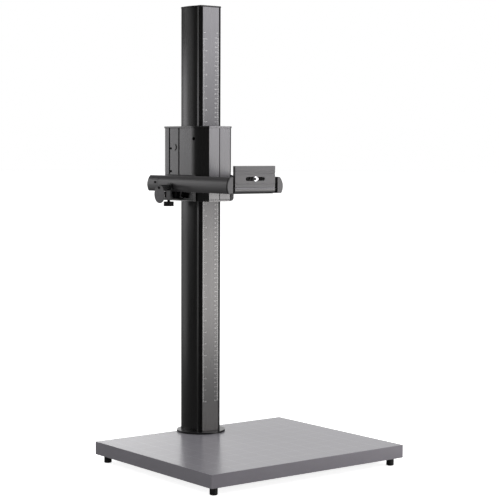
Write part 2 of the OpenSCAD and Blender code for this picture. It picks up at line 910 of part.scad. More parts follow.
module hinge_washers() {
    color([0.03, 0.03, 0.03]) for (s = [0, 1]) {
        translate([s * (plate_w + washer_t), 0, 0]) difference() {
            bar_x(column_x - inner_x, column_x - inner_x + washer_t - 0.1 * (1 - s), hinge_y,
                z0 + hinge_z, 2 * barrel_r - 2);
            bar_x(column_x - inner_x - cut, column_x - inner_x + washer_t + cut, hinge_y, z0 + hinge_z,
                hinge_d);
        }
    }
}

// the camera plate: a ribbed plate with the hinge barrel along its lower edge
module camera_plate() {
    x0 = column_x - plate_w / 2;
    x1 = column_x + plate_w / 2 - 0.1;
    color([0.3, 0.3, 0.31]) difference() {
        union() {
            span([x0, plate_front_y, z0 + hinge_z + 4.5],
                [x1, plate_front_y + plate_t, z0 + plate_z + plate_h]);
            bar_x(x0, x1, hinge_y, z0 + hinge_z, 2 * barrel_r);
            span([x0, hinge_y - 6, z0 + hinge_z], [x1, plate_front_y + plate_t, z0 + hinge_z + 8]);
        }
        bar_x(x0 - cut, x1 + cut, hinge_y, z0 + hinge_z, hinge_d + 2 * hinge_gap);
        // the slot with its round ends
        for (s = [-1, 1]) {
            bar_y(column_x + s * (slot_l - slot_h) / 2, plate_front_y - cut,
                plate_front_y + plate_t + cut, z0 + slot_z, slot_h);
        }
        span([column_x - (slot_l - slot_h) / 2, plate_front_y - cut, z0 + slot_z - slot_h / 2],
            [column_x + (slot_l - slot_h) / 2, plate_front_y + plate_t + cut, z0 + slot_z + slot_h / 2]);
        // long shallow grooves across the front
        for (z = rib_z) {
            span([x0 - cut, plate_front_y - cut, z0 + plate_z + z - 0.6],
                [x1 + cut, plate_front_y + 0.8, z0 + plate_z + z + 0.6]);
        }
    }
}

bush_flange_d = 10.6;
bush_flange_t = 1.6;
// the camera screw has a thin shank behind its thread, so that it can't be lost
shank_d = 4.8;
thread_back = 0.3;
camera_x = column_x + screw_x;

// the bush slides in the slot and carries the camera screw
module screw_bush() {
    color([0.85, 0.85, 0.86]) difference() {
        union() {
            bar_y(camera_x, plate_front_y - 0.1 - bush_flange_t, plate_front_y - 0.1, z0 + slot_z,
                bush_flange_d);
            bar_y(camera_x, plate_front_y - 0.2, plate_front_y + plate_t + 0.1, z0 + slot_z, slot_h - 0.2);
            bar_y(camera_x, plate_front_y + plate_t + 0.1, plate_front_y + plate_t + 1.6, z0 + slot_z,
                bush_flange_d + 4.4);
        }
        bar_y(camera_x, plate_front_y - 5, plate_front_y + plate_t + 5, z0 + slot_z,
            shank_d + 2 * hinge_gap);
    }
}

module camera_screw() {
    y0 = plate_front_y - 0.1 - bush_flange_t - screw_out;
    color([0.8, 0.8, 0.82]) difference() {
        union() {
            bar_y(camera_x, y0, y0 + screw_out - thread_back, z0 + slot_z, screw_d);
            bar_y(camera_x, y0 + cut, plate_front_y + plate_t + 12, z0 + slot_z, shank_d);
        }
        bar_y(camera_x, y0 - cut, y0 + 2.5, z0 + slot_z, 3);
    }
}

knob_y = plate_front_y + plate_t + 1.8;

module screw_knob() {
    color([0.05, 0.05, 0.055]) difference() {
        bar_y(camera_x, knob_y, knob_y + 12, z0 + slot_z, 22);
        bar_y(camera_x, knob_y - cut, plate_front_y + plate_t + 12, z0 + slot_z, shank_d);
        for (i = [0:11]) {
            translate([camera_x, 0, z0 + slot_z]) rotate([0, i * 30, 0])
                translate([12.2, knob_y - cut, 0]) rotate([-90, 0, 0]) cylinder(d = 4, h = 14, $fn = 24);
        }
    }
}

spindle_x = column_x - bracket_x - bracket_t;
disc_shift = 1.4;

// the spindle presses on the left arm, its grip is ribbed
module clamp_spindle() {
    color([0.07, 0.07, 0.075]) difference() {
        union() {
            bar_x(spindle_x - 0.3, column_x - inner_x - arm_t - 0.35, spindle_y, z0 + spindle_z, 8);
            bar_x(spindle_x - spindle_l, spindle_x - 0.3, spindle_y, z0 + spindle_z, 13);
        }
        for (i = [0:7]) {
            translate([spindle_x - spindle_l, spindle_y, z0 + spindle_z]) rotate([i * 45, 0, 0])
                translate([4, 0, 7.2]) rotate([0, 90, 0]) cylinder(d = 3, h = spindle_l - 8, $fn = 24);
        }
    }
}

module clamp_disc() {
    x1 = spindle_x - spindle_l;
    color([0.1, 0.1, 0.105]) difference() {
        bar_x(x1 - disc_t, x1, spindle_y - disc_shift, z0 + spindle_z - disc_offset, disc_d);
        bar_x(x1 - disc_t - cut, x1 + cut, spindle_y, z0 + spindle_z, 4);
    }
}

module clamp_end_screw() {
    x1 = spindle_x - spindle_l;
    color([0.03, 0.03, 0.03]) union() {
        bar_x(x1 - disc_t - 1.5, x1 - disc_t, spindle_y, z0 + spindle_z, 6);
        bar_x(x1 - disc_t, x1, spindle_y, z0 + spindle_z, 4);
    }
}

stop_x = column_x - inner_x - arm_t / 2;

stop_top = bracket_z - 3.6;

// the stop screw runs up through the bracket to a ribbed sleeve under the arm
module stop_stem() {
    sleeve_z = z0 + bracket_z + plate_foot_t + 0.4;
    sleeve_h = arm_z - bracket_z - plate_foot_t - 0.8;
    color([0.05, 0.05, 0.05]) translate([stop_x, stop_y, 0]) difference() {
        union() {
            translate([0, 0, z0 + stop_top - 2]) cylinder(d = 6, h = arm_z - stop_top + 2 - 0.4);
            translate([0, 0, sleeve_z]) cylinder(d = stop_sleeve_d, h = sleeve_h);
        }
        for (i = [0:13]) {
            rotate([0, 0, i * 360 / 14]) translate([stop_sleeve_d / 2 + 0.6, 0, sleeve_z - cut / 4])
                cylinder(d = 3, h = sleeve_h + cut / 2, $fn = 24);
        }
    }
}

module stop_knob() {
    color([0.02, 0.02, 0.02]) translate([stop_x, stop_y, z0 + stop_top - 10]) difference() {
        cylinder(d = stop_knob_d, h = 10);
        translate([0, 0, 8]) cylinder(d = 6, h = 3);
        for (i = [0:15]) {
            rotate([0, 0, i * 22.5]) translate([stop_knob_d / 2 + 0.8, 0, -cut])
                cylinder(d = 3, h = 12, $fn = 24);
        }
    }
}

baseboard();
edging();
foot_front_left();
foot_front_right();
foot_back_left();
foot_back_right();
foot_screws();
foot_flange();
flange_bolts();
column();
friction_strip();
column_cap();
cap_screws();
shell_left();
shell_right();
side_cover_left();
side_cover_right();
back_cover();
frame_top();
frame_bottom();
lid_top();
lid_bottom();
pads_top();
pads_bottom();
cover_screws();
axle_cap();
brake_screw();
shaft_bushes();
rail_left();
rail_right();
rail_stop();
clamp_bracket();
crank_shaft();
friction_wheel();
crank_arm();
crank_pin();
crank_grip();
arm_left();
arm_right();
front_cap_left();
front_cap_right();
back_cap_left();
back_cap_right();
arm_screws();
hinge_bar();
hinge_washers();
camera_plate();
screw_bush();
camera_screw();
screw_knob();
clamp_spindle();
clamp_disc();
clamp_end_screw();
stop_stem();
stop_knob();
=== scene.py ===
# %% [markdown]
# # A copy stand, finished in Blender
# A copy stand holds a camera above a flat board, so that a page or a small object can be photographed
# from straight above. The CAD model gives every solid of it, and this lesson gives those solids their
# finish. Each solid stays where the CAD put it. Where a real edge is a little round, a copy of the solid
# is rounded and stands for it, because a perfectly sharp edge never catches the light.

import json
import math

import bmesh
import bpy
from mathutils import Matrix, Vector


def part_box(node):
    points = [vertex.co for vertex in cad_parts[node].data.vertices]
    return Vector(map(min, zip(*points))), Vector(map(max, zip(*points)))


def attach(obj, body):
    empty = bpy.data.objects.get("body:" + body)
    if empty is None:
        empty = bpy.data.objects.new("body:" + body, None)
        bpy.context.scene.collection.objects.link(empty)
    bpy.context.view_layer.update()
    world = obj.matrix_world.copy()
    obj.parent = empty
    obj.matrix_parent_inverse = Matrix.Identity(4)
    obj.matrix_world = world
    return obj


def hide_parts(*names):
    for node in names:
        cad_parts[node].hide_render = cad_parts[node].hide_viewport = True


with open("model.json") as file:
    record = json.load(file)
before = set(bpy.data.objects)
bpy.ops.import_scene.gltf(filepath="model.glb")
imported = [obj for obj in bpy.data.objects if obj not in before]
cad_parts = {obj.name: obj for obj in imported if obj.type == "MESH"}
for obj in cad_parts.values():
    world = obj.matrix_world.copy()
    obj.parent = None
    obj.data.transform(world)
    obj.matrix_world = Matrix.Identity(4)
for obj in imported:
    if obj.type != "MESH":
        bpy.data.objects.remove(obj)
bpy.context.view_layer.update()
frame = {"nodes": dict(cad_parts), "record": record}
record = frame["record"]
MM = 0.001
body_of = {node: body for body, nodes in record["behaviour"]["bodies"].items() for node in nodes}
slot_of = {row["node"]: row["material_slot"] for row in record["subparts"]}
print("solids:", len(body_of), "slots:", len(set(slot_of.values())))

# %% [markdown]
# ## The camera
# The photograph was taken from the left of the stand and a little above the middle of the column, from
# about three metres away. A long lens keeps the column's edges nearly parallel. The camera is turned
# about Z first, then tipped down, then levelled, each as one rotation matrix, so that the order is plain.
# The lens is named by its length in pixels of the picture, as it was measured, and Blender wants it in
# millimetres for a sensor of a given width.

# %% Place the camera
SENSOR_WIDTH = 36.0
PICTURE_WIDTH = 499
LENS_IN_PIXELS = 1522
CAMERA_SPOT = Vector((-1946.25, -2523.1, 621.9)) * MM
TURN_RIGHT = math.radians(37.65)
TIP_DOWN = math.radians(3.79)
LEVEL = math.radians(0.21)

lens = bpy.data.cameras.new("front_left_view")
lens.sensor_width = SENSOR_WIDTH
lens.lens = SENSOR_WIDTH * LENS_IN_PIXELS / PICTURE_WIDTH
camera = bpy.data.objects.new("front_left_view", lens)
bpy.context.scene.collection.objects.link(camera)
camera.matrix_world = (
    Matrix.Translation(CAMERA_SPOT)
    @ Matrix.Rotation(-TURN_RIGHT, 4, "Z")
    @ Matrix.Rotation(math.radians(90) - TIP_DOWN, 4, "X")
    @ Matrix.Rotation(LEVEL, 4, "Z")
)
bpy.context.scene.camera = camera
print("lens:", round(lens.lens, 1), "mm")

# %% [markdown]
# ## Numbers in nodes as Python
# A finish is a small web of nodes. Joining them one by one is slow to write and hard to read, so one
# class wraps a number that runs between nodes, and Python's own + - * add the Math nodes.

# %% A number in a web of nodes
class Amount:
    """A number that varies over a surface. Arithmetic on it adds the nodes that work it out."""

    def __init__(self, nodes, socket):
        self.nodes = nodes
        self.socket = socket

    def work(self, operation, first, second):
        return self.nodes.node("ShaderNodeMath", {"operation": operation}, {0: first, 1: second})

    def __add__(self, other):
        return self.work("ADD", self, other)

    def __radd__(self, other):
        return self.work("ADD", other, self)

    def __sub__(self, other):
        return self.work("SUBTRACT", self, other)

    def __rsub__(self, other):
        return self.work("SUBTRACT", other, self)

    def __mul__(self, other):
        return self.work("MULTIPLY", self, other)

    def __rmul__(self, other):
        return self.work("MULTIPLY", other, self)

    def below(self, limit):
        return self.work("LESS_THAN", self, limit)


print("numbers in nodes: + - * and below")

# %% [markdown]
# ## Every other node
# One method adds any other node: first its settings, then what goes into its sockets. The kinds that are
# used often, such as a stretched noise or a soft step, have a short name of their own.

# %% A web of nodes
class Nodes:
    """The nodes of one material or of the room."""

    def __init__(self, tree):
        self.tree = tree

    def join(self, socket, value):
        if isinstance(value, Amount):
            self.tree.links.new(value.socket, socket)
        else:
            socket.default_value = value

    def node(self, kind, settings, inputs, output=None):
        made = self.tree.nodes.new(kind)
        for name, value in settings.items():
            setattr(made, name, value)
        sockets = [s for s in made.inputs if s.enabled]
        for name, value in inputs.items():
            if isinstance(name, int):
                socket = sockets[name]
            else:
                socket = next(s for s in sockets if s.name == name)
            self.join(socket, value)
        outlets = [s for s in made.outputs if s.enabled]
        return Amount(self, next(s for s in outlets if output in (None, s.name)))

    def spot(self):
        return self.node("ShaderNodeTexCoord", {}, {}, "Object")

    def dot(self, first, second):
        return self.node("ShaderNodeVectorMath", {"operation": "DOT_PRODUCT"}, {0: first, 1: second}, "Value")

    def speckle(self, stretch, detail=2.0, roughness=0.5):
        """A noise that changes as many times in a metre along X, Y and Z as stretch says."""
        place = self.node("ShaderNodeMapping", {}, {"Vector": self.spot(), "Scale": stretch})
        look = {"Vector": place, "Scale": 1.0, "Detail": detail, "Roughness": roughness}
        return self.node("ShaderNodeTexNoise", {}, look, "Fac")

    def fade(self, value, low, high):
        """0 where the value is low and 1 where it is high, with a smooth step between them."""
        ends = {"Value": value, "From Min": low, "From Max": high, "To Min": 0.0, "To Max": 1.0}
        return self.node("ShaderNodeMapRange", {"interpolation_type": "SMOOTHSTEP"}, ends)

    def blend(self, amount, first, second):
        mixed = {"Factor": amount, "A": first, "B": second}
        return self.node("ShaderNodeMix", {"data_type": "RGBA"}, mixed)


print("short names: spot, dot, speckle, fade, blend")

# %% [markdown]
# ## A finish
# A finish is one material. What is the same all over it is a number on the shader's own socket, and only
# what varies gets nodes. Rubbed edges are found with a rounded normal: beside an edge it turns away from
# the flat one, so their dot product falls below 1.

# %% A finish
EDGE_ROUND = 0.6 * MM
EDGE_TURN = (0.995, 0.85)


class Finish(Nodes):
    """One material: constants on the shader's own sockets, and nodes for what varies."""

    def __init__(self, name, colour, roughness, metallic=0.0, **constants):
        self.material = bpy.data.materials.new(name)
        self.material.use_nodes = True
        super().__init__(self.material.node_tree)
        self.shader = next(n for n in self.tree.nodes if n.type == "BSDF_PRINCIPLED")
        self.colour = (*colour, 1.0)
        self.material.diffuse_color = self.colour
        self.put("Base Color", self.colour)
        self.put("Roughness", roughness)
        self.put("Metallic", metallic)
        for socket, value in constants.items():
            self.put(socket.replace("_", " "), value)

    def put(self, name, value):
        self.join(self.shader.inputs[name], value)

    def shade(self, factor):
        """The finish's own colour, made darker or lighter by a varying factor."""
        scaled = {"Vector": self.colour[:3], "Scale": factor}
        return self.node("ShaderNodeVectorMath", {"operation": "SCALE"}, scaled)

    def relief(self, height, depth):
        bump = {"Height": height, "Distance": depth, "Strength": 1.0}
        self.put("Normal", self.node("ShaderNodeBump", {}, bump))

    def edges(self):
        """1 along outer edges and 0 on flat faces, from how far a rounded normal turns away."""
        rounded_normal = self.node("ShaderNodeBevel", {"samples": 4}, {"Radius": EDGE_ROUND})
        flat_normal = self.node("ShaderNodeNewGeometry", {}, {}, "Normal")
        return self.fade(self.dot(rounded_normal, flat_normal), *EDGE_TURN)


print("finish tools ready")

# %% [markdown]
# ## Black anodised aluminium
# The column, the housing, the rails and the arms are drawn aluminium profiles. The die leaves fine lines
# along the length, and the dyed oxide is nearly black and satin, so almost all that is seen of it is what
# it mirrors. The lines are a noise that is stretched along the profile: hundreds of changes across it for
# one along it. The column and the housing run along Z, the arms along Y and the camera plate along X, so
# one function makes the finish for all. Handled edges are a touch lighter, because the dye is thin there.

# %% Drawn, anodised profiles
LINES = (12.0, 2600.0)
BANDS = (3.0, 160.0)
CLOUD = 9.0
LINE_RELIEF = 0.004 * MM
BARE_METAL = 0.06


def worn(colour, gain):
    """The lighter colour of a rubbed edge."""
    return tuple(min(1.0, part * gain + BARE_METAL) for part in colour) + (1.0,)


def stretched(along, slow, fast):
    """Changes in a metre along X, Y and Z: few along one axis and many across it."""
    return tuple(slow if axis == along else fast for axis in "XYZ")


def drawn_profile(name, colour, roughness, along, wear=0.5, **constants):
    finish = Finish(name, colour, roughness, **constants)
    lines = finish.speckle(stretched(along, *LINES), detail=3.0, roughness=0.6)
    bands = finish.speckle(stretched(along, *BANDS))
    cloud = finish.speckle((CLOUD, CLOUD, CLOUD), detail=3.0)
    finish.put("Roughness", roughness - 0.06 + lines * 0.05 + bands * 0.04 + cloud * 0.05)
    dyed = finish.shade(0.70 + bands * 0.25 + cloud * 0.35)
    finish.put("Base Color", finish.blend(finish.edges() * cloud * wear, dyed, worn(colour, 3.0)))
    finish.relief(lines + bands * 0.4, LINE_RELIEF)
    return finish


column_black = drawn_profile("column_black", (0.0036, 0.0034, 0.0035), 0.27, "Z", IOR=1.62)
housing_black = drawn_profile("housing_black", (0.0035, 0.0034, 0.0036), 0.27, "Z", IOR=1.90)
arm_black = drawn_profile("arm_black", (0.030, 0.0285, 0.030), 0.36, "Y", IOR=1.62)
plate_grey = drawn_profile("plate_grey", (0.024, 0.024, 0.0245), 0.34, "X", wear=0.8, IOR=1.62)
print("drawn profiles:", [f.material.name for f in (column_black, housing_black, arm_black, plate_grey)])

# %% [markdown]
# ## Enamel, castings and machined steel
# The foot flange, the clamp's bracket and the crank's arm are enamelled: smooth, with the faint ripple of
# a sprayed coat. The guide frames are plain machined castings. Turned steel has rings too fine to see
# here, so its roughness is mottled instead. Each is the same few nodes with other numbers: a cloud for
# the roughness and a fine grain for the relief. Two dull blacks serve: one for sawn faces, and one for the
# black screws, which is also painted shade in the deep joints, grooves and windows where shade falls.

# %% Coated and machined finishes
MOTTLE = 14.0


def coated(name, colour, roughness, metallic=0.0, grain=900.0, depth=0.01, wear=0.0, **constants):
    finish = Finish(name, colour, roughness, metallic, **constants)
    pores = finish.speckle((grain, grain, grain), detail=3.0, roughness=0.6)
    cloud = finish.speckle((MOTTLE, MOTTLE, MOTTLE), detail=3.0)
    finish.put("Roughness", roughness - 0.05 + cloud * 0.10 + pores * 0.04)
    tone = finish.shade(0.88 + cloud * 0.16 + pores * 0.08)
    if wear:
        tone = finish.blend(finish.edges() * cloud * wear, tone, worn(colour, 2.5))
    finish.put("Base Color", tone)
    finish.relief(pores, depth * MM)
    return finish


finishes = {
    "rubber": coated("foot_rubber", (0.012, 0.012, 0.012), 0.62, grain=1500.0, depth=0.02),
    "steel": coated("turned_steel", (0.62, 0.62, 0.63), 0.26, metallic=1.0, depth=0.003),
    "steel_dark": coated("blackened_steel", (0.004, 0.004, 0.004), 0.6, wear=0.3, Specular_IOR_Level=0.25),
    "black_enamel": coated("black_enamel", (0.007, 0.007, 0.0075), 0.28, grain=350.0, wear=0.3),
    "cast_alloy": coated("machined_casting", (0.42, 0.42, 0.43), 0.42, metallic=1.0, depth=0.02),
    "grey_cap": coated("grey_cap", (0.056, 0.056, 0.057), 0.36, grain=1800.0, depth=0.02),
    "black_plastic": coated("black_plastic", (0.008, 0.008, 0.0085), 0.50, grain=2000.0, depth=0.03),
    "pale_plastic": coated("glide_plastic", (0.72, 0.70, 0.64), 0.45),
    "brass": coated("turned_brass", (0.62, 0.43, 0.16), 0.28, metallic=1.0, depth=0.003),
    "black_anodised": column_black,
    "housing": housing_black,
    "plate_alloy": plate_grey,
}
sawn = coated("sawn_edge", (0.012, 0.012, 0.012), 0.5)
# The dull black is also painted shade: on the column's grooves and left slanted edge, in the housing's joints
# and on the sheets behind the rails' windows.
dull_black_and_shade = coated("matte_black", (0.003, 0.003, 0.003), 0.8, Specular_IOR_Level=0.1)
print("finishes by slot:", len(finishes))

# %% [markdown]
# ## The board's laminate
# The board is faced with a hard grey laminate. It is satin, so at the camera's low angle it mirrors the
# pale room softly, and the column as a dark blur. Its texture is a faint brushing from left to right.
# Thin pale lines divide it into squares, which helps to lay an original square to the camera. The lines
# are drawn with numbers: the distance to the nearest multiple of the pitch, compared with half a line's
# width.

# %% Laminate with a printed grid
SQUARES_ACROSS = 12
BOARD_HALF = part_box("edging")[1].x
GRID = 2 * BOARD_HALF / SQUARES_ACROSS
GRID_MIDDLE = (8 * MM, 4 * MM)
LINE = 0.9 * MM
LINE_COLOUR = (0.46, 0.45, 0.48, 1.0)
LINE_STRENGTH = 0.3
BRUSHING = (9.0, 700.0, 40.0)
PATCHES = (6.0, 9.0, 6.0)
BRUSH_RELIEF = 0.006 * MM

laminate = Finish("grey_laminate", (0.225, 0.220, 0.238), 0.24)
brushed = laminate.speckle(BRUSHING, detail=3.0, roughness=0.6)
patches = laminate.speckle(PATCHES, detail=3.0)


def grid_lines(axis, shift):
    """1 on the lines that cross one axis, 0 between them."""
    along = laminate.node("ShaderNodeSeparateXYZ", {}, {"Vector": laminate.spot()}, axis)
    step = laminate.node("ShaderNodeMath", {"operation": "PINGPONG"}, {0: along - shift, 1: GRID / 2})
    return step.below(LINE / 2)


both_ways = {0: grid_lines("X", GRID_MIDDLE[0] + GRID / 2), 1: grid_lines("Y", GRID_MIDDLE[1])}
printed = laminate.node("ShaderNodeMath", {"operation": "MAXIMUM"}, both_ways)
tone = laminate.shade(0.90 + brushed * 0.12 + patches * 0.08)
laminate.put("Base Color", laminate.blend(printed * LINE_STRENGTH, tone, LINE_COLOUR))
laminate.put("Roughness", 0.20 + brushed * 0.05 + patches * 0.04)
laminate.relief(brushed, BRUSH_RELIEF)
finishes["laminate"] = laminate
finishes["edge_strip"] = coated("edge_strip", (0.165, 0.158, 0.175), 0.34, grain=500.0)
print("grid pitch:", round(GRID / MM, 2), "mm")

# %% [markdown]
# ## Rounding the solids
# A CAD solid arrives as loose triangles. A copy is merged, its flat triangles are joined into whole
# faces, and every edge that turns by more than about thirty degrees gets a narrow round. A weighted
# normal keeps the large faces flat in the light. The copy then rides on the same body and stands for the
# solid. Some faces get a second finish, picked by where they are and which way they look: a face looks
# straight along an axis where that part of its direction is above 0.9.

# %% A rounded copy of a solid
MERGE = 0.002 * MM
FLAT = math.radians(0.6)
RIDGE = math.radians(32)
CREASE = 34
STRAIGHT = 0.9
pieces = []


def object_from(shape, name, finish):
    """Turns a finished shape into an object of one finish."""
    mesh = bpy.data.meshes.new(name)
    shape.to_mesh(mesh)
    shape.free()
    mesh.materials.append(finish.material)
    made = bpy.data.objects.new(name, mesh)
    bpy.context.scene.collection.objects.link(made)
    return made


def shown(shape, name, node, finish, crease=CREASE):
    """Turns a shape into a piece that stands for a node, on that node's body."""
    piece = object_from(shape, name, finish)
    piece.data.shade_smooth()
    piece.data.set_sharp_from_angle(angle=math.radians(crease))
    normals = piece.modifiers.new("even_normals", "WEIGHTED_NORMAL")
    normals.keep_sharp = True
    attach(piece, body_of[node])
    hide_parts(node)
    pieces.append(piece)
    return piece


def added(shape, name, body, finish):
    """Turns a shape into a new piece that rides on a body."""
    piece = object_from(shape, name, finish)
    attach(piece, body)
    pieces.append(piece)
    return piece


def rounded(node, width=0.4, segments=2, finish=None, crease=CREASE):
    """Shows a node's solid with narrow rounds on its edges, in its slot's finish or another one."""
    shape = bmesh.new()
    shape.from_mesh(frame["nodes"][node].data)
    bmesh.ops.remove_doubles(shape, verts=shape.verts[:], dist=MERGE)
    bmesh.ops.dissolve_limit(
        shape, angle_limit=FLAT, verts=shape.verts[:], edges=shape.edges[:], use_dissolve_boundaries=False
    )
    if width:
        ridges = [e for e in shape.edges if e.is_manifold and e.calc_face_angle(0) > RIDGE]
        bmesh.ops.bevel(
            shape, geom=ridges, offset=width * MM, offset_type="OFFSET", segments=segments,
            profile=0.5, affect="EDGES", clamp_overlap=False, material=-1,
        )
    return shown(shape, node + "_finished", node, finish or finishes[slot_of[node]], crease)


def repaint(piece, finish, chosen):
    """Gives a second finish to the faces that a test of their middle and direction picks."""
    piece.data.materials.append(finish.material)
    count = 0
    for face in piece.data.polygons:
        if chosen(face.center, face.normal):
            face.material_index = 1
            count += 1
    print(piece.name, "faces in", finish.material.name + ":", count)


print("rounding ready")

# %% [markdown]
# ## The board and its feet
# The board keeps its square corners with only a hair of rounding. Its edge is covered by four strips of
# edging, mitred at the corners. The mitre shows as a thin line at each corner, so the strips are four
# pieces: each a box whose inner corners are drawn in by the strip's own thickness.

# %% Board, edging and feet
EDGING_ROUND = 0.22 * MM

rounded("baseboard", width=0.2)
low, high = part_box("edging")
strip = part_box("baseboard")[0].x - low.x
edging = bmesh.new()
for turn in range(4):
    half_long = (high.x, high.y)[turn % 2]
    half_wide = (high.y, high.x)[turn % 2]
    bar = bmesh.new()
    size = Matrix.Diagonal((2 * half_long, strip, high.z - low.z, 1.0))
    centre = Matrix.Translation((0, half_wide - strip / 2, (high.z + low.z) / 2))
    bmesh.ops.create_cube(bar, size=1.0, matrix=centre @ size)
    for corner in bar.verts:
        if corner.co.y < half_wide - strip / 2:
            corner.co.x -= math.copysign(strip, corner.co.x)
    bmesh.ops.bevel(
        bar, geom=bar.edges[:], offset=EDGING_ROUND, segments=2, profile=0.5, affect="EDGES", material=-1
    )
    quarter = Matrix.Rotation(turn * math.pi / 2, 3, "Z")
    bmesh.ops.rotate(bar, cent=(0, 0, 0), matrix=quarter, verts=bar.verts[:])
    part = bpy.data.meshes.new("edging_bar")
    bar.to_mesh(part)
    bar.free()
    edging.from_mesh(part)
shown(edging, "edging_mitred", "edging", finishes["edge_strip"])
for foot in ("foot_front_left", "foot_front_right", "foot_back_left", "foot_back_right"):
    rounded(foot, width=0)
rounded("foot_screws", width=0.2)
print("edging strip:", round(strip / MM, 2), "mm thick")

# %% [markdown]
# ## The column
# The column is one hollow profile with a flat bar along its front and bulging sides. It stands on a round
# flange that is bolted through the board, and a thin plate closes its top. The groove behind each slanted
# edge of the bar and the slanted edge on the left are painted dull black: painted shade, which keeps them
# black beside the bright front. The crease angle is small here, so that the slanted edges keep a flat
# light of their own.

# %% Column, flange and top plate
GROOVE = (2.7 * MM, 6.0 * MM)
LEVEL_WAY = 0.5
BEVEL_DEPTH = 3 * MM
BEVEL_LEFT = (-0.5, -0.2)
BEVEL_FRONT = -0.8
column_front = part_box("column")[0].y


# Picks the faces that get painted shade: the grooves behind the bar's slanted edges and the left slanted
# edge.
def painted_shade_on_column(middle, way):
    depth = middle.y - column_front
    in_groove = GROOVE[0] < depth < GROOVE[1] and abs(way.z) < LEVEL_WAY
    left_bevel = BEVEL_LEFT[0] < way.x < BEVEL_LEFT[1] and way.y < BEVEL_FRONT and depth < BEVEL_DEPTH
    return in_groove or left_bevel


rounded("foot_flange", width=0.5)
rounded("flange_bolts", width=0.4)
repaint(rounded("column", width=0.35, crease=12), dull_black_and_shade, painted_shade_on_column)
rounded("column_cap", width=0.5)
rounded("cap_screws", width=0.25)
rounded("friction_strip", width=0.2)
print("pieces so far:", len(pieces))

# %% [markdown]
# ## The carriage
# Two shells, two side covers and a back cover make the housing that slides on the column. Their edges are
# sawn and lightly broken, so the rounding is narrow. The sawn faces in the joints beside the side covers
# are painted dull black, as painted shade in the joints. A lid closes the housing above and below.

# %% Carriage housing
JOINT_REACH = 9 * MM
housing_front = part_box("shell_left")[0].y


def painted_shade_joint_faces(side):
    """Picks the sawn faces in the joints of one side of the housing, which get painted shade."""

    def chosen(middle, way):
        behind_front = middle.y > housing_front + JOINT_REACH
        return abs(way.y) > STRAIGHT and abs(middle.x - side) < JOINT_REACH and behind_front

    return chosen


for node in ("shell_left", "shell_right", "back_cover", "side_cover_left", "side_cover_right"):
    low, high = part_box(node)
    side = high.x if node.endswith("right") else low.x
    repaint(rounded(node, width=0.45), dull_black_and_shade, painted_shade_joint_faces(side))
for node in ("lid_top", "lid_bottom"):
    rounded(node, width=0.5, finish=housing_black)
print("pieces so far:", len(pieces))

# %% [markdown]
# ## The guides and the rails
# Inside the housing two cast frames guide it on the column. On each side of the housing a rail carries an
# arm. The rails' front ends are sawn and dull. Behind the two windows of each rail a thin black sheet is
# painted shade: it darkens the windows, where there is only shade.

# %% Guides and rails
SHEET_THICK = 0.4 * MM
SHEET_TALL = 17 * MM
SHEET_HEIGHT = 13.5 * MM
SHEET_MARGIN = 8 * MM
SHEET_INSET = 0.25 * MM


def faces_front(middle, way):
    return way.y < -STRAIGHT


for node in ("frame_top", "frame_bottom", "rail_stop", "clamp_bracket"):
    rounded(node, width=0.4)
for node in ("rail_left", "rail_right"):
    repaint(rounded(node, width=0.4), sawn, faces_front)
for node in ("rail_left", "rail_right"):
    low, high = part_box(node)
    inner = high.x - SHEET_INSET if node == "rail_left" else low.x + SHEET_INSET
    # A thin black sheet behind the windows, as painted shade.
    sheet = bmesh.new()
    place = Matrix.Translation((inner, (low.y + high.y) / 2, low.z + SHEET_HEIGHT))
    size = Matrix.Diagonal((SHEET_THICK, high.y - low.y - SHEET_MARGIN, SHEET_TALL, 1.0))
    bmesh.ops.create_cube(sheet, size=1.0, matrix=place @ size)
    added(sheet, node + "_painted_shade_sheet", "carriage", dull_black_and_shade)
print("pieces so far:", len(pieces))

# %% [markdown]
# ## The carriage's small parts
# The covers' screws and the brake screw are a dull black, and the cap over the crank's axle has the
# housing's finish. Inside, the frames glide on pale plastic pads, and the crank's shaft runs in brass
# bushes.

# %% Screws, axle cap, pads and bushes
for node in ("cover_screws", "brake_screw"):
    rounded(node, width=0.2, finish=dull_black_and_shade)
rounded("axle_cap", width=0.5, finish=housing_black)
for node in ("pads_top", "pads_bottom", "shaft_bushes"):
    rounded(node, width=0.2)
print("pieces so far:", len(pieces))

# %% [markdown]
# ## The crank
# The crank turns a rubber-faced wheel that rolls on a steel strip at the column's back. The grip spins on
# its pin. None of it shows in the photograph, so its side and its shape are a guess.

# %% Crank and drive
for node in ("crank_shaft", "friction_wheel", "crank_pin"):
    rounded(node, width=0.3)
rounded("crank_arm", width=0.8, segments=3)
rounded("crank_grip", width=0.5, segments=3)
print("pieces so far:", len(pieces))

# %% [markdown]
# ## The arms and the camera plate
# Each arm is a profile with a round outer side. A grey cap closes its front end and a black one its back
# end. The tilting plate between the arms carries the camera on a steel screw with a steel bush round it.
# The plate's ends and its top edge are sawn, so they are duller than its face.

# %% Arms, plate and camera screw
def sawn_on_plate(middle, way):
    return abs(way.x) > STRAIGHT or way.z > STRAIGHT


for node in ("arm_left", "arm_right"):
    rounded(node, width=0.5, finish=arm_black)
for node in ("front_cap_left", "front_cap_right"):
    rounded(node, width=0.8, segments=3)
for node in ("back_cap_left", "back_cap_right"):
    rounded(node, width=0.8, segments=3, finish=arm_black)
rounded("arm_screws", width=0.25)
rounded("hinge_bar", width=0.3)
rounded("hinge_washers", width=0.3, finish=dull_black_and_shade)
repaint(rounded("camera_plate", width=0.3), sawn, sawn_on_plate)
rounded("screw_bush", width=0.25)
rounded("camera_screw", width=0.25)
rounded("screw_knob", width=0.4)
print("pieces so far:", len(pieces))

# %% [markdown]
# ## The clamps
# The large disc locks the arms, and the small knob below it stops them. The disc has the arms' satin
# black, the spindle and the knob are black plastic, and the knob's stem is a dull black.

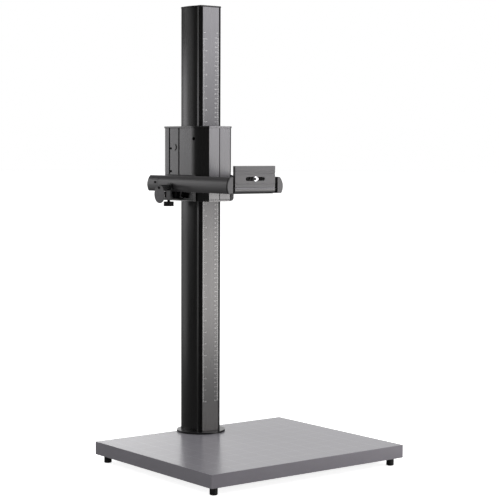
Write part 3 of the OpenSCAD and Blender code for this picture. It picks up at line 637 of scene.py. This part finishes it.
# %% Clamp and stop screw
for node in ("clamp_spindle", "stop_knob"):
    rounded(node, width=0.4)
rounded("clamp_disc", width=0.4, finish=arm_black)
rounded("clamp_end_screw", width=0.25)
rounded("stop_stem", width=0.25, finish=dull_black_and_shade)
print("pieces so far:", len(pieces))

# %% [markdown]
# ## Digits in ink
# The front bar carries two scales in white ink. They are printed, so they are only a few hundredths of a
# millimetre thick. Each digit is made once from the built-in font and stamped where it is needed.

# %% Ink and digits
INK = 0.04 * MM
CAPITAL = 0.73
DIGIT_TALL = 2.9
INCH_TALL = 2.2
CM_TALL = 2.6
INK_MERGE = 0.001 * MM
ink = coated("white_ink", (0.78, 0.78, 0.77), 0.5, grain=1200.0)


def glyph(sign, height):
    """A sign of the built-in font as a mesh, standing upright and facing the front, thin as ink."""
    text = bpy.data.curves.new("sign", "FONT")
    text.body = sign
    text.size = height * MM / CAPITAL
    text.extrude = INK / 2
    text.resolution_u = 2
    text.align_x = "CENTER"
    holder = bpy.data.objects.new("sign", text)
    bpy.context.scene.collection.objects.link(holder)
    bpy.context.view_layer.update()
    mesh = bpy.data.meshes.new_from_object(holder)
    bpy.data.objects.remove(holder)
    shape = bmesh.new()
    shape.from_mesh(mesh)
    upright = Matrix.Rotation(math.pi / 2, 3, "X")
    bmesh.ops.remove_doubles(shape, verts=shape.verts[:], dist=INK_MERGE)
    bmesh.ops.rotate(shape, cent=(0, 0, 0), matrix=upright, verts=shape.verts[:])
    bmesh.ops.recalc_face_normals(shape, faces=shape.faces[:])
    shape.to_mesh(mesh)
    shape.free()
    return mesh


digits = {sign: glyph(sign, DIGIT_TALL) for sign in "0123456789"}
units = {"inch": glyph("inch", INCH_TALL), "cm": glyph("cm", CM_TALL)}
print("faces in a digit:", max(len(m.polygons) for m in digits.values()))

# %% [markdown]
# ## The printed scales
# Inches run up the bar's left edge and centimetres up its right edge. Every tick is one small block. The
# fine ticks are the shortest, the halves are longer, and the units are the longest and have a number.

# %% Two scales on the front bar
SCALE_FOOT = 70 * MM
SCALE_TOP = SCALE_FOOT + 800 * MM
HALF_BAR = 21.25 * MM
EDGE_MARGIN = 0.9 * MM
TICK_THICK = (0.26, 0.30, 0.40)
DIGIT_STEP = 2.35 * MM
DIGIT_SPACE = 3.5
INCH = 25.4 * MM
CENTIMETRE = 10.0 * MM
INCH_INSET = 4.0 * MM
CM_INSET = 3.4 * MM
face_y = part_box("column")[0].y - INK / 2
middle_x = sum(v.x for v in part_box("column")) / 2
scales = bmesh.new()


def stamp(mesh, x, z):
    placed = mesh.copy()
    placed.transform(Matrix.Translation((x, face_y, z)))
    scales.from_mesh(placed)


def tick(edge, side, z, length, thick):
    place = Matrix.Translation((edge - side * length * MM / 2, face_y, z))
    size = Matrix.Diagonal((length * MM, INK, thick * MM, 1.0))
    bmesh.ops.create_cube(scales, size=1.0, matrix=place @ size)


def number(text, middle, z):
    for place, sign in enumerate(text):
        shift = (place - (len(text) - 1) / 2) * DIGIT_STEP
        stamp(digits[sign], middle + shift, z - DIGIT_TALL * MM / 2)


def scale(side, unit, parts, last, lengths):
    """One scale up the bar's edge, with its ticks' lengths for parts, halves and units."""
    edge = middle_x + side * (HALF_BAR - EDGE_MARGIN)
    for step in range(last * parts + 1):
        kind = 2 if step % parts == 0 else 1 if step % (parts // 2) == 0 else 0
        z = SCALE_FOOT + step * unit / parts
        tick(edge, side, z, lengths[kind], TICK_THICK[kind])
        if kind == 2:
            number(str(step // parts), edge - side * (lengths[2] + DIGIT_SPACE) * MM, z)
    return edge


left = scale(side=-1, unit=INCH, parts=16, last=31, lengths=(3.0, 3.8, 4.8))
right = scale(side=1, unit=CENTIMETRE, parts=10, last=79, lengths=(2.0, 3.0, 4.2))
stamp(units["inch"], left + INCH_INSET, SCALE_TOP)
stamp(units["cm"], right - CM_INSET, SCALE_TOP)
marks = added(scales, "printed_scales", "base", ink)
print("scale faces:", len(marks.data.polygons))

# %% [markdown]
# ## The studio
# To the camera the floor and the room are plain white. Gloss needs something to mirror: it sees a sweep
# that is brightest behind the stand and fades round to a dark room on the camera's side, so that the
# faces turned to the camera stay black, as in a real studio. A dark flag ends the bright side more
# sharply at the right. Directions are given in degrees round the stand, from X towards Y.

# %% What gloss sees
BRIGHT_SIDE = 62
BRIGHT_SPREAD = (0.74, 1.0)
FLAG_SIDE = 105
FLAG_SPREAD = (0.30, 0.54)
DARK_ROOM = 0.02
WHITE_SWEEP = 0.95


def toward(nodes, way, degrees):
    """How nearly a level direction points a given way round the stand: 1 is straight at it."""
    flat = nodes.node("ShaderNodeVectorMath", {"operation": "MULTIPLY"}, {0: way, 1: (1.0, 1.0, 0.0)})
    unit = nodes.node("ShaderNodeVectorMath", {"operation": "NORMALIZE"}, {0: flat})
    aim = (math.cos(math.radians(degrees)), math.sin(math.radians(degrees)), 0.0)
    return nodes.dot(unit, aim)


def sweep(nodes, way):
    """How bright the studio is in gloss, in a direction from the stand: 1 is white."""
    broad = nodes.fade(toward(nodes, way, BRIGHT_SIDE), *BRIGHT_SPREAD)
    flag = nodes.fade(toward(nodes, way, FLAG_SIDE), *FLAG_SPREAD)
    return DARK_ROOM + broad * broad * flag * WHITE_SWEEP


def ray(nodes, kind):
    """1 for the rays of one kind, 0 for the others."""
    return nodes.node("ShaderNodeLightPath", {}, {}, kind)


print("bright side at", BRIGHT_SIDE, "degrees")

# %% [markdown]
# ## The floor
# The floor is a wide white disc at the height of the feet. In gloss it is black and glows instead, with
# the room's sweep, a little lift and a painted pool of light in front of the stand, at its right, which
# only gloss sees.

# %% Floor
FLOOR_WHITE = (0.8, 0.8, 0.8)
FLOOR_RADIUS = 40.0
FLOOR_SIDES = 96
FLOOR_LIGHT = 0.85
FLOOR_LIFT = 0.06
FRONT_RIGHT = -52
POOL_SPREAD = (0.80, 0.97)
POOL_REACH = (0.25, 1.0)
PAINTED_POOL = 1.8

white = Finish("white_floor", FLOOR_WHITE, 0.9)
in_gloss = ray(white, "Is Glossy Ray")
seen = ray(white, "Is Camera Ray") + ray(white, "Is Transmission Ray")
white.put("Base Color", white.blend(in_gloss, (*FLOOR_WHITE, 1.0), (0.0, 0.0, 0.0, 1.0)))
spot = white.spot()
reach = white.node("ShaderNodeVectorMath", {"operation": "LENGTH"}, {0: spot}, "Value")
front_right = white.fade(toward(white, spot, FRONT_RIGHT), *POOL_SPREAD)
# A painted glow that gloss sees on the floor, with a painted pool of light at the front right.
painted_glow = sweep(white, spot) + FLOOR_LIFT + white.fade(reach, *POOL_REACH) * front_right * PAINTED_POOL
white.put("Emission Color", (1, 1, 1, 1))
white.put("Emission Strength", seen * FLOOR_LIGHT + in_gloss * painted_glow)

floor_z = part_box("foot_front_left")[0].z
ground = bmesh.new()
middle = Matrix.Translation((0, 0, floor_z))
bmesh.ops.create_circle(
    ground, cap_ends=True, radius=FLOOR_RADIUS, segments=FLOOR_SIDES, matrix=middle
)
floor = object_from(ground, "white_floor", white)
print("floor at", round(floor_z / MM, 1), "mm")

# %% [markdown]
# ## The room
# The camera sees the room as white. Gloss sees the sweep, and low above the horizon a narrow bright
# window behind the stand, which the board mirrors. All other light comes evenly from the room, with a
# little more from the left.

# %% Room
AMBIENT = 0.42
LEFT_LEAN = 0.35
WINDOW_SIDE = 62
WINDOW_SPREAD = (0.985, 1.0)
WINDOW_TOP = (0.225, 0.175)
WINDOW_LIGHT = 1.3

room = bpy.data.worlds.new("white_room")
bpy.context.scene.world = room
room.use_nodes = True
studio = Nodes(room.node_tree)
direct = ray(studio, "Is Camera Ray") + ray(studio, "Is Transmission Ray")
gloss = ray(studio, "Is Glossy Ray")
way = studio.node("ShaderNodeTexCoord", {}, {}, "Generated")
height = studio.dot(way, (0.0, 0.0, 1.0))
to_left = studio.dot(way, (-1.0, 0.0, 0.0))
window = studio.fade(toward(studio, way, WINDOW_SIDE), *WINDOW_SPREAD) * studio.fade(height, *WINDOW_TOP)
mirrored = sweep(studio, way) + window * WINDOW_LIGHT
ambient = AMBIENT + studio.fade(to_left, 0.0, 1.0) * LEFT_LEAN
back = room.node_tree.nodes["Background"]
studio.join(back.inputs["Strength"], direct + gloss * mirrored + (1.0 - direct - gloss) * ambient)
studio.join(back.inputs["Color"], (1, 1, 1, 1))
print("ambient light:", AMBIENT)

# %% [markdown]
# ## The lamps
# Soft boxes give the flat faces their tone. Three stand before the stand at its right, one above the
# other, for all that faces front. Five stand behind at the left for the left sides: the main one, one
# high up for the arms, one near the floor, and two weak ones beside the main one for the round column. A
# last one hangs overhead.

# %% Lamps
def soft_box(name, place, aim, wide, tall, brightness, tint=(1.0, 1.0, 1.0)):
    """An area lamp, in metres, turned to its aim. Its face is as bright as given, where 1 is white."""
    lamp = bpy.data.lights.new(name, "AREA")
    lamp.shape = "RECTANGLE"
    lamp.size = wide
    lamp.size_y = tall
    lamp.energy = brightness * math.pi * wide * tall
    lamp.color = tint
    box = bpy.data.objects.new(name, lamp)
    bpy.context.scene.collection.objects.link(box)
    line = Vector(place) - Vector(aim)
    box.matrix_world = Matrix.Translation(place) @ line.to_track_quat("Z", "Y").to_matrix().to_4x4()
    box.visible_camera = False


soft_box(
    "right_high_box", place=(0.95, -1.10, 1.15), aim=(0.0, 0.12, 0.75),
    wide=0.55, tall=0.70, brightness=7.9, tint=(1.0, 0.975, 1.03),
)
soft_box(
    "right_middle_box", place=(0.95, -1.10, 0.65), aim=(0.0, 0.12, 0.65),
    wide=0.55, tall=0.30, brightness=2.2, tint=(1.0, 0.97, 1.04),
)
soft_box(
    "right_low_box", place=(0.95, -1.10, 0.22), aim=(0.0, 0.12, 0.35),
    wide=0.55, tall=0.42, brightness=6.0, tint=(1.03, 0.985, 0.97),
)
soft_box(
    "left_box", place=(-0.72, 1.60, 0.68), aim=(0.0, 0.15, 0.66),
    wide=0.60, tall=0.46, brightness=1.9, tint=(1.0, 0.985, 1.01),
)
soft_box(
    "left_upper_box", place=(-1.50, 2.98, 1.66), aim=(0.0, 0.15, 0.55),
    wide=1.20, tall=0.50, brightness=3.0,
)
soft_box(
    "left_back_box", place=(-0.14, 1.74, 0.50), aim=(0.0, 0.15, 0.50),
    wide=0.60, tall=0.90, brightness=0.20,
)
soft_box(
    "left_low_box", place=(-0.72, 1.60, 0.18), aim=(0.0, 0.15, 0.30),
    wide=0.60, tall=0.46, brightness=0.65,
)
soft_box(
    "left_far_box", place=(-1.19, 1.22, 0.72), aim=(0.0, 0.15, 0.60),
    wide=0.50, tall=0.70, brightness=0.55,
)
soft_box(
    "overhead_box", place=(0.1, 0.2, 2.4), aim=(0.0, 0.0, 0.0),
    wide=2.0, tall=2.0, brightness=1.6,
)

bpy.context.scene.view_settings.view_transform = "Standard"
print("lamps:", len(bpy.data.lights))
